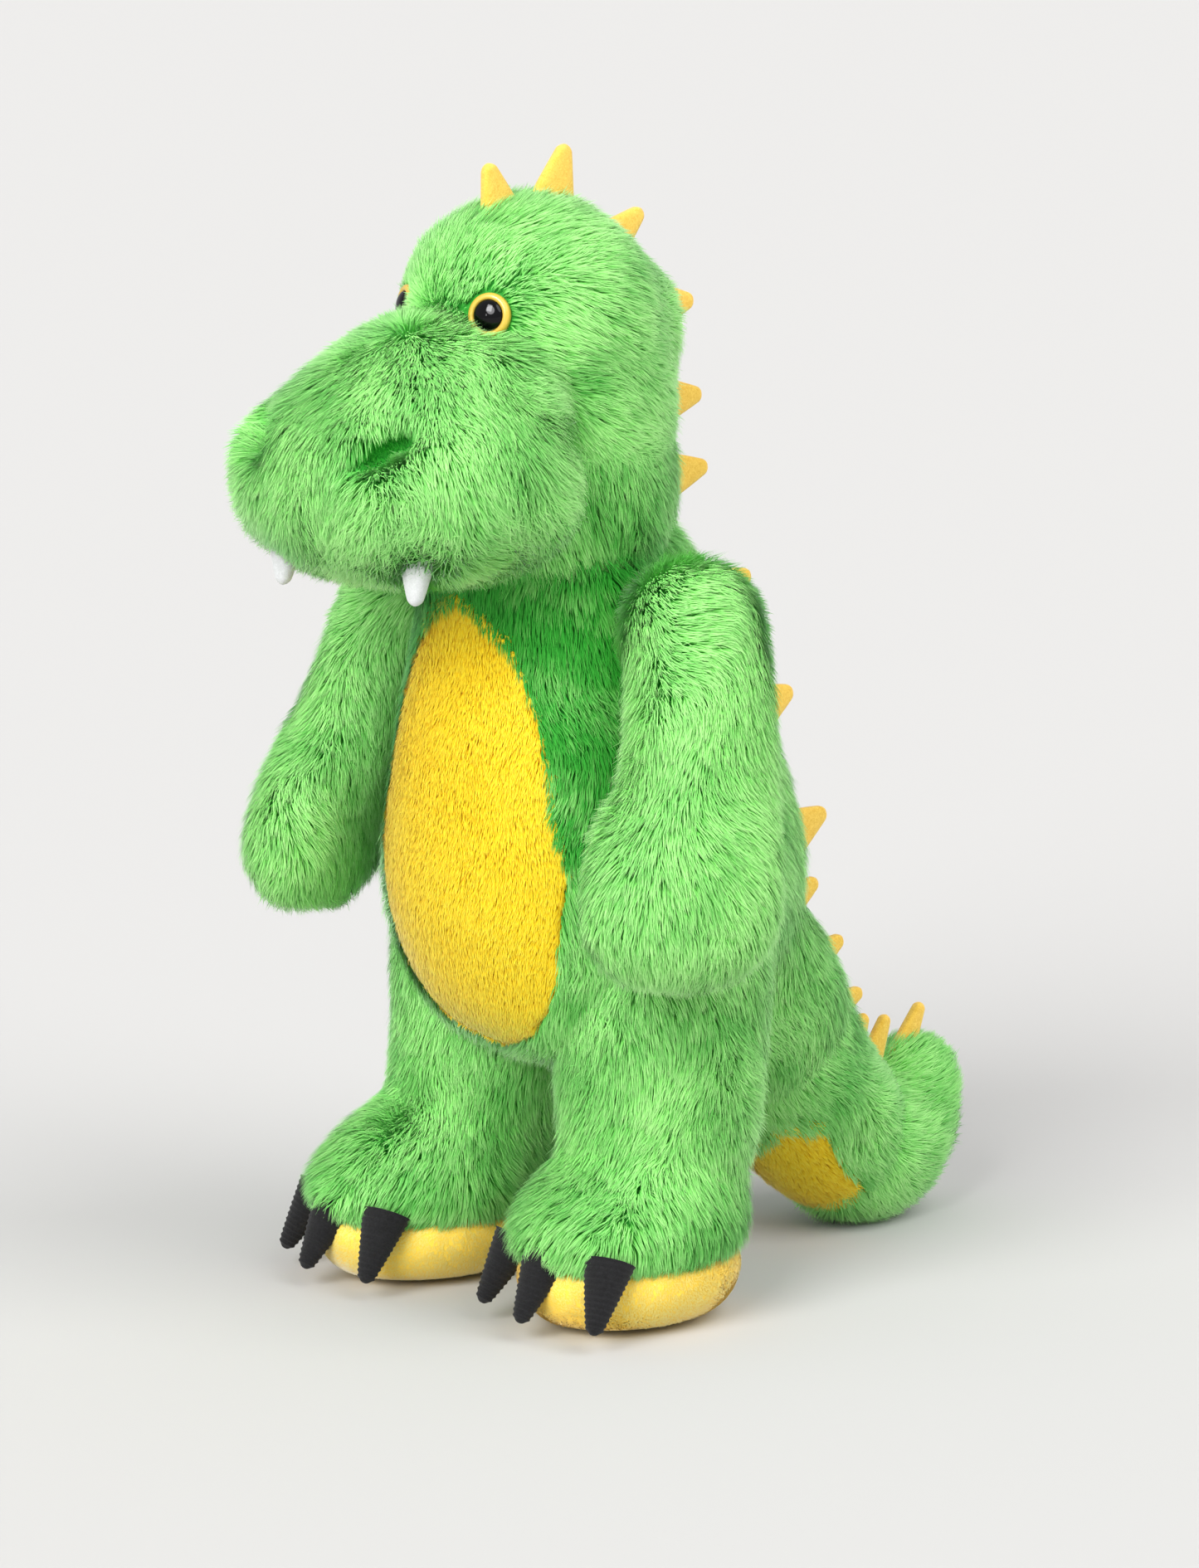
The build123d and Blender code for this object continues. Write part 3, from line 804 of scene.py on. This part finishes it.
muzzle_mesh = skin("muzzle_plush", [
    ellipsoid((0, -58, 291.5), (62, 45, 31), power=2.3),
    ellipsoid((0, -51, 307), (52, 40, 28)),
    ellipsoid((0, -40, 322), (42, 33, 20)),
])
push_in(muzzle_mesh, nostril_depth, NOSTRIL_DEPTH)
muzzle = plush(
    "muzzle_plush", muzzle_mesh,
    MuzzlePile(12, density=2.6, width=0.44, clump=16, gather=0.26, lift=0.34), GREEN,
    ["muzzle_shell", "muzzle_fill"],
    keep=lambda roots: (eye_distance(roots) > 8.2) & (distance_from(roots, HEAD_CENTRE) > 40))
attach(muzzle, "head")

# The neck's tone of 0.55, darker than the body's 0.7, is painted shade under the muzzle.
neck = plush(
    "neck_plush", skin("neck_plush", [column(NECK_COLUMN), column(NECK_RIDGE)]),
    BodyPile(13, density=2.0, width=0.45, gather=0.32, tone=0.55), GREEN,
    ["neck_shell", "neck_fill"], keep=lambda roots: height(roots) > 260)
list(hinge_line((0, 0, 276), (0, 0, 308)))
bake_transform(neck)


# ---- torso and belly ------------------------------------------------------------------------
TORSO = (
    (88, -2, 74, 38, 24), (98, -22, 92, 55, 24), (118, -35, 112, 66, 24), (150, -43, 117, 69, 20),
    (196, -41, 100, 58, 14), (236, -34, 84, 49, 8), (262, -36, 62, 42, 2), (270, -30, 54, 36, 4))
TAIL_ROOT = ((0, 60, 132, 40, 1), (0, 88, 98, 37, 1), (0, 106, 76, 33.5, 1), (0, 112, 69, 24, 1))
# Height and half width of the yellow panel.
BELLY = (
    (93, 0), (100, 22), (112, 34), (124, 41), (158, 46),
    (194, 38), (220, 29), (236, 20), (246, 8), (250, 0))


def on_belly(points):
    local = stance(points)
    half_width = np.interp(local[:, 2], *zip(*BELLY))
    return (np.abs(local[:, 0]) < half_width) & (local[:, 1] < 5)


class BellyPile(Pile):
    def flow(self, roots, normals):
        return same_way(roots, (0.0, -0.1, -1.0))


torso_mesh = skin("torso_plush", [egg_column(TORSO), tube(TAIL_ROOT)])
torso = plush(
    "torso_plush", torso_mesh, TorsoPile(14, density=2.0, width=0.45, gather=0.32, lift=0.36),
    GREEN, ["torso_shell", "torso_fill"],
    keep=lambda roots: ~on_belly(roots) & (height(roots) < 272))
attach(torso, "torso")

belly = plush(
    "belly_plush", patch("belly_plush", torso_mesh, on_belly),
    BellyPile(15, density=4.5, length=3.4, clump=24, gather=0.06, stray=0.10, lift=0.26, swirl=0.2),
    YELLOW, ["belly_panel"])
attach(belly, "torso")


# ---- arms and legs --------------------------------------------------------------------------
ARM_TURN = -25       # the flat of the left arm looks forward and outward
SLEEVE = (
    (134, 96, -21, 12, 22), (146, 96, -21, 18, 31), (164, 94, -18, 19, 31.5),
    (178, 91, -13, 18.5, 29), (192, 88, -6, 17.5, 24.5), (212, 83, 0, 18, 23.5),
    (238, 74, 6, 19, 21), (250, 70, 8, 12, 14))
FOOT = (
    (23, 0, 0, 31, 38), (28, 0, 0, 33, 40), (36, 0, 0, 34, 41.5), (46, 0, 4, 31, 37),
    (57, 0, 9, 25, 26))
LEG = (
    (44, 47, 12, 27, 27), (56, 46, 14, 29, 29), (84, 43.5, 18, 32.5, 32.5), (124, 43, 20, 33, 33),
    (146, 42, 20, 20, 20))
SOLE = (
    (1.2, 0, 0, 20, 27), (4.5, 0, 0, 27.5, 35), (13, 0, 0, 33.5, 41.5), (22, 0, 0, 34.5, 42),
    (26, 0, 0, 32, 39))

for side, sign in SIDES:
    arm_shapes = [
        column(SLEEVE, turn=ARM_TURN),
        ellipsoid((96, -21, 146), (18, 30, 16), turn=(0, 0, ARM_TURN)),
        ellipsoid((70, 8, 240), (22, 22, 22)),
    ]
    leg_shape = column(LEG)
    if sign < 0:
        arm_shapes = [mirrored(shape) for shape in arm_shapes]
        leg_shape = mirrored(leg_shape)
    arm = plush(
        "arm_plush_" + side, skin("arm_plush_" + side, arm_shapes), ArmPile(16 + sign, tone=0.8),
        GREEN, both(["arm_shell", "arm_fill"], side))
    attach(arm, "arm_" + side)

    ankle = np.array(FOOT_PLACE[side]) + (0, 22, 84)
    leg = plush(
        "leg_plush_" + side, skin("leg_plush_" + side, [on_foot(column(FOOT), side), leg_shape]),
        FootPile(18 + sign, ankle, density=2.3, clump=20, gather=0.38),
        GREEN, both(["leg_shell", "leg_fill", "foot_shell", "foot_fill"], side),
        keep=lambda roots: (height(roots) > 25) & (height(roots) < 142))
    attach(leg, "leg_" + side)


# ---- tail -----------------------------------------------------------------------------------
TAIL = (
    (0, 96, 89, 26, 1), (0, 106, 76, 31.5, 1), (0, 127, 50, 28.5, 1), (0, 146, 32, 26, 1),
    (0, 156, 28, 20, 1))
TAIL_TIP = (
    (0, 140, 36, 18, 1), (0, 150, 30, 25.5, 1), (0, 165, 27, 23.5, 1), (0, 178, 36, 19, 1),
    (0, 184, 48, 14, 1))
TAIL_SPINE = ((90, 92), (106, 76), (127, 50), (150, 29), (165, 27), (178, 33))     # y and z
TAIL_BEND = hinge_line((0, 92, 92), (0, 124, 56))


def under_tail(points):
    """The yellow fabric under the tail."""
    local = stance(points)
    y, z = local[:, 1], local[:, 2]
    return (z < np.interp(y, *zip(*TAIL_SPINE)) - 21) & (y > 98) & (y < 172) & (z < 48)


class UnderTailPile(Pile):
    def flow(self, roots, normals):
        return same_way(roots, (0.0, 1.0, -0.4))


tail_mesh = skin("tail_plush", [tube(TAIL)])
tail = plush(
    "tail_plush", tail_mesh, TailPile(21, density=2.3, length=9.5, lift=0.36),
    GREEN, ["tail_shell", "tail_fill"], keep=lambda roots: ~under_tail(roots))
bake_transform(tail)
tail_under = plush(
    "tail_under_plush", patch("tail_under_plush", tail_mesh, under_tail),
    UnderTailPile(
        22, density=4.0, length=4.0, width=0.40, clump=24, gather=0.12, stray=0.12, lift=0.36),
    YELLOW, ["tail_panel"])
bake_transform(tail_under)

tail_tip = plush(
    "tail_tip_plush",
    skin("tail_tip_plush", [tube(TAIL_TIP), ellipsoid((0, 183, 45), (16, 16, 18))]),
    TailPile(23, density=2.3, length=9.5, lift=0.36), GREEN, ["tail_tip_shell", "tail_tip_fill"])
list(hinge_line((0, 142, 36), (0, 166, 27)))
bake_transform(tail_tip)


# ---- soles ----------------------------------------------------------------------------------
class SolePile(Pile):
    def flow(self, roots, normals):
        return away_from(roots, (0, 0, 60))


SOLE_PILE = dict(
    density=3.5, length=0.9, width=0.45, clump=40, gather=0.05, swirl=0.3, stray=0.1, lift=0.2)

for side, sign in SIDES:
    sole_mesh = skin(
        "sole_plush_" + side, [on_foot(column(SOLE), side)], voxel=4.0, relax=3, cap=1.0)
    sole = plush(
        "sole_plush_" + side, sole_mesh, SolePile(24 + sign, **SOLE_PILE),
        MINKY, ["sole_" + side], keep=lambda roots: roots[:, 2] > 3.5 * MM)
    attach(sole, "leg_" + side)


# ---- felt, corduroy and plastic pieces ------------------------------------------------------
def horn(base, tip, base_wide, base_thick, tip_round, ribs=0, rib_high=0.0, square=2.0,
         reference=(0, 0, 1.0), steps=60, sectors=40):
    """Sewn horn with a rounded end, ribbed across its length. square over 2 makes a flat slab."""
    base, tip = np.array(base, float), np.array(tip, float)
    axis = unit(tip - base)
    side = unit(np.cross(axis, reference))
    up = np.cross(side, axis)
    length = np.linalg.norm(tip - base)
    cosine, sine = circle(sectors)
    fill_out = (np.abs(cosine) ** square + np.abs(sine) ** square) ** (-1 / square)
    round_share = min(1.2 * tip_round / length, 0.4)
    rings = []
    for step in 1 - np.linspace(1, 0, steps) ** 1.35:
        past = max(step - 1 + round_share, 0) / round_share
        cap = math.sqrt(max(1 - past ** 2, 0.0004))
        rib = rib_high * (0.5 + 0.5 * math.cos(2 * math.pi * ribs * step)) ** 1.5
        taper = (1 - step) ** 0.9
        wide = ((base_wide - tip_round) * taper + tip_round + rib) * cap
        thick = ((base_thick - tip_round) * taper + tip_round + rib) * cap
        across = np.outer(cosine * fill_out * wide, side) + np.outer(sine * fill_out * thick, up)
        rings.append(base + axis * length * step + across)
    verts = np.vstack([base, *rings, tip + axis * 0.02])
    return finish_grid(verts, steps, sectors)


def turned(profile, place, sectors=72):
    """Turned part: radius and height pairs from its bottom middle to its top middle."""
    cosine, sine = circle(sectors)
    rings = [np.stack([radius * cosine, radius * sine, np.full(sectors, level)], 1)
             for radius, level in profile]
    verts = np.vstack([[0, 0, profile[0][1]], *rings, [0, 0, profile[-1][1]]])
    verts = verts @ np.array(place.to_3x3()).T + np.array(place.to_translation())
    return finish_grid(verts, len(profile), sectors)


def shape_object(name, shape, material, node, body):
    mesh = mesh_of(name, [shape])
    mesh.shade_smooth()
    made = new_object(name, mesh)
    made.data.materials.append(material)
    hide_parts(node)
    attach(made, body)
    return made


CLAW_FAN, CLAW_DROOP = 22, 60       # degrees between neighbours, and below level
CLAW_BASE_Z = 28.5
for side, sign in SIDES:
    spin = Matrix.Rotation(math.radians(FOOT_TURN[side]), 3, "Z")
    droop = math.radians(CLAW_DROOP)
    for sideways, which in ((-1, "a"), (0, "b"), (1, "c")):
        fan = Matrix.Rotation(math.radians(CLAW_FAN * sideways), 3, "Z")
        start = Vector((sideways * 24, -31 if sideways else -38, CLAW_BASE_Z))
        heading = fan @ Vector((0, -math.cos(droop), -math.sin(droop)))
        base, tip = (
            tuple(spin @ (start + heading * far) + Vector(FOOT_PLACE[side]))
            for far in (-1.0, 24.5))
        shape_object(
            "claw_ribbed_%s_%s" % (side, which),
            horn(base, tip, 8.8, 7.2, 2.2, ribs=13, rib_high=0.45),
            CORDUROY, "claw_%s_%s" % (side, which), "leg_" + side)

# Felt spikes: body, base y and z, tip y and z, width along the seam.
SPIKES = (
    ("head", -16, 379, -21, 394, 16), ("head", 8, 380, 14, 399, 20),
    ("head", 34, 364, 49, 375, 17), ("head", 54, 341, 73, 342.5, 19),
    ("neck", 58, 308, 77, 309.5, 18), ("neck", 50, 280, 80, 284, 25),
    ("torso", 84, 238, 101, 244, 20), ("torso", 102, 193, 122, 200, 24),
    ("torso", 119, 146, 139, 154, 23), ("torso", 119, 121, 135, 129, 15),
    ("tail", 131, 98, 148, 106, 15), ("tail", 141, 79, 158, 85, 13),
    ("tail_tip", 151, 57, 160, 76, 11), ("tail_tip", 161, 53, 171, 74, 11),
    ("tail_tip", 180, 60, 189, 76, 10),
)
for number, (body, base_y, base_z, tip_y, tip_z, width) in enumerate(SPIKES, start=1):
    out = unit(np.array([0, tip_y - base_y, tip_z - base_z], float))
    root = np.array([0, base_y, base_z]) - out * 5
    shape_object(
        "felt_spike_%02d" % number,
        horn(root, (0, tip_y, tip_z), 2.3, width / 2 + 1.5, 1.9, square=3.2),
        YELLOW_FELT, "spike_%02d" % number, body)

# Eyes: radius and height along the eye's own axis, from the shank to the front.
IRIS = (
    (2.0, -16), (2.0, -1.3), (7.2, -1.3), (7.6, -0.9), (7.6, 0.4), (7.35, 1.0), (6.8, 1.45),
    (6.1, 1.6), (5.6, 1.45), (5.3, 1.0), (5.2, 0.5), (0.5, 0.5))
PUPIL_R, PUPIL_RISE, PUPIL_FOOT = 5.35, 2.5, 0.75
PUPIL = ((5.2, 0.52),) + tuple(
    (PUPIL_R * math.cos(math.radians(step)), PUPIL_FOOT + PUPIL_RISE * math.sin(math.radians(step)))
    for step in range(0, 91, 6))
EYE_OUTWARD, EYE_TILT = 24, 82      # degrees from straight ahead, and from straight up
for side, sign in SIDES:
    tooth = horn(
        (34 * sign, -81, 274), (34.5 * sign, -83, 253.5), 8.2, 6.0, 2.0, square=2.4,
        reference=(0, 1.0, 0))
    shape_object("felt_tooth_" + side, tooth, WHITE_FELT, "tooth_" + side, "head")
    seat = Matrix.Translation((21.5 * sign, -39, 345.5)) @ Matrix.Rotation(
        math.radians(EYE_OUTWARD * sign), 4, "Z") @ Matrix.Rotation(math.radians(EYE_TILT), 4, "X")
    shape_object("eye_iris_" + side, turned(IRIS, seat), EYE_GOLD, "eye_ring_" + side, "head")
    shape_object("eye_dome_" + side, turned(PUPIL, seat), EYE_BLACK, "eye_pupil_" + side, "head")

# ---- camera and studio ----------------------------------------------------------------------
VIEW_AZIMUTH, VIEW_ELEVATION, VIEW_DISTANCE = 48, 10, 2.0
ASIDE = 22           # mm that the view's middle is off the stance's
AROUND = math.radians(VIEW_AZIMUTH)
TARGET = Vector(to_row((ASIDE * math.cos(AROUND), ASIDE * math.sin(AROUND), 180)))
FOCAL_MM, SENSOR_MM = 400 / 3, 36.0
FLOOR_HALF = 40      # metres, so that its edge is out of sight
EYE_PLACE = (0.02, -0.09, 0.345)

scene = bpy.context.scene
scene.view_settings.view_transform = "Standard"

corners = [(-1, -1, 0), (1, -1, 0), (1, 1, 0), (-1, 1, 0)]
floor_mesh = bpy.data.meshes.new("studio_floor")
floor_mesh.from_pydata(
    [(x * FLOOR_HALF, y * FLOOR_HALF, z) for x, y, z in corners], [], [(0, 1, 2, 3)])
floor = new_object("studio_floor", floor_mesh)
floor.data.materials.append(
    smooth_material("studio_paper", (0.580, 0.574, 0.566, 1), 0.95, 0.0))

world = bpy.data.worlds.new("studio")
world.use_nodes = True
world.node_tree.nodes["Background"].inputs["Color"].default_value = (1.0, 1.0, 1.0, 1)
world.node_tree.nodes["Background"].inputs["Strength"].default_value = 0.60
scene.world = world


def towards(azimuth, elevation):
    """Direction: azimuth in degrees from the nose towards the toy's left, and elevation."""
    turn, rise = math.radians(azimuth), math.radians(elevation)
    level = math.cos(rise)
    return Vector((math.sin(turn) * level, -math.cos(turn) * level, math.sin(rise)))


def sun(name, azimuth, elevation, strength, softness):
    """Even light from a direction, as wide as softness in degrees."""
    data = bpy.data.lights.new(name, "SUN")
    data.energy = strength
    data.angle = math.radians(softness)
    made = new_object(name, data)
    made.rotation_euler = towards(azimuth, elevation).to_track_quat("Z", "Y").to_euler()
    return made


def softbox(name, place, aim, size, watts):
    data = bpy.data.lights.new(name, "AREA")
    data.shape = "RECTANGLE"
    data.size, data.size_y = size
    data.energy = watts
    made = new_object(name, data)
    made.location = place
    made.rotation_euler = (Vector(aim) - Vector(place)).to_track_quat("-Z", "Y").to_euler()
    return made


sun("front_softbox", 18, 30, 3.1, 34)
sun("side_softbox", 98, 46, 1.7, 45)
# Only reflections see this one: it is the white spot in each eye.
eye_light = softbox("eye_light", (0.32, -1.80, 1.70), EYE_PLACE, (0.8, 1.2), 48)
eye_light.visible_diffuse = False

camera_data = bpy.data.cameras.new("camera")
camera_data.sensor_fit = "VERTICAL"
camera_data.sensor_height = SENSOR_MM
camera_data.lens = FOCAL_MM
camera = new_object("camera", camera_data)
back = towards(VIEW_AZIMUTH, VIEW_ELEVATION)
camera.location = TARGET + back * VIEW_DISTANCE
camera.rotation_euler = (-back).to_track_quat("-Z", "Y").to_euler()
scene.camera = camera
